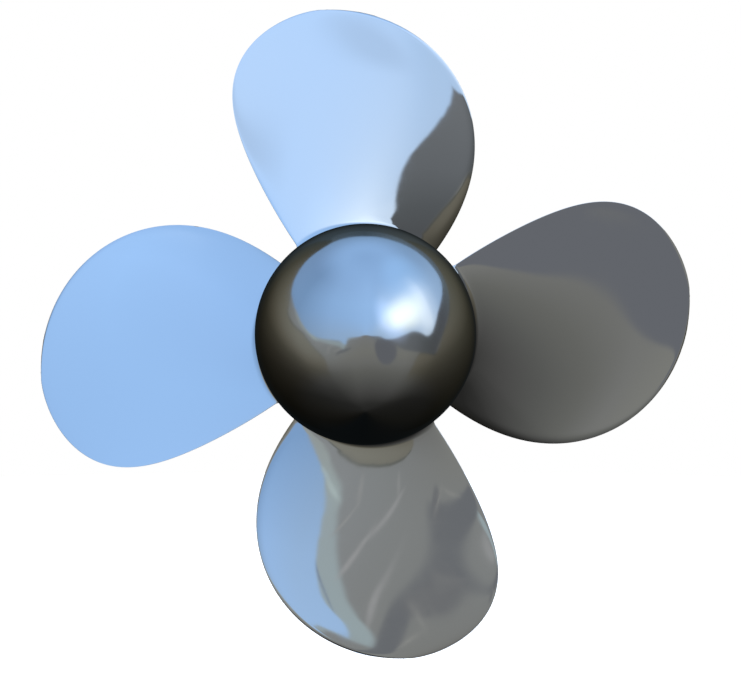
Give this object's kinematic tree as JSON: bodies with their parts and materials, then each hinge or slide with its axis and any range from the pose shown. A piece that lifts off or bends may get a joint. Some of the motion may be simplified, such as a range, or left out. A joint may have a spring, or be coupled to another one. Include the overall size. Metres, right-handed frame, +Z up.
{
  "type": "ship propeller",
  "caption": "Right-handed fixed-pitch ship propeller cast in one piece, mirror polished, with a hollow domed boss cap, shaft nut, seals, gland ring, screws and plugs.",
  "frame": {"origin": "on the shaft axis, in the plane of the boss's forward end face, at the mouth of the shaft bore", "axes": "+Y forward along the shaft axis towards the ship, -Y aft towards the nose of the cap, +Z up along one blade, +X to the right as seen from aft"},
  "size_m": [2.3816, 1.0463, 2.3816],
  "materials": {
    "polished_steel": "mirror polished",
    "machined_steel": "fine turned",
    "screw_steel": "satin",
    "seal_rubber": "matt"
  },
  "bodies": {
    "root": {"propeller_casting": "polished_steel", "boss_cap": "polished_steel", "cap_gasket": "seal_rubber", "propeller_nut": "machined_steel", "nut_lock_plate": "machined_steel", "forward_seal": "seal_rubber", "gland_ring": "machined_steel", "cap_screw_1": "screw_steel", "cap_screw_2": "screw_steel", "cap_screw_3": "screw_steel", "cap_screw_4": "screw_steel", "cap_screw_5": "screw_steel", "cap_screw_6": "screw_steel", "cap_screw_7": "screw_steel", "cap_screw_8": "screw_steel", "cap_plug_1": "screw_steel", "cap_plug_2": "screw_steel", "gland_screw_1": "screw_steel", "gland_screw_2": "screw_steel", "gland_screw_3": "screw_steel", "gland_screw_4": "screw_steel", "gland_screw_5": "screw_steel", "gland_screw_6": "screw_steel", "gland_screw_7": "screw_steel", "gland_screw_8": "screw_steel", "lock_screw_1": "screw_steel", "lock_screw_2": "screw_steel", "boss_plug_1": "screw_steel", "boss_plug_2": "screw_steel", "boss_plug_3": "screw_steel", "boss_plug_4": "screw_steel"}
  },
  "joints": []
}
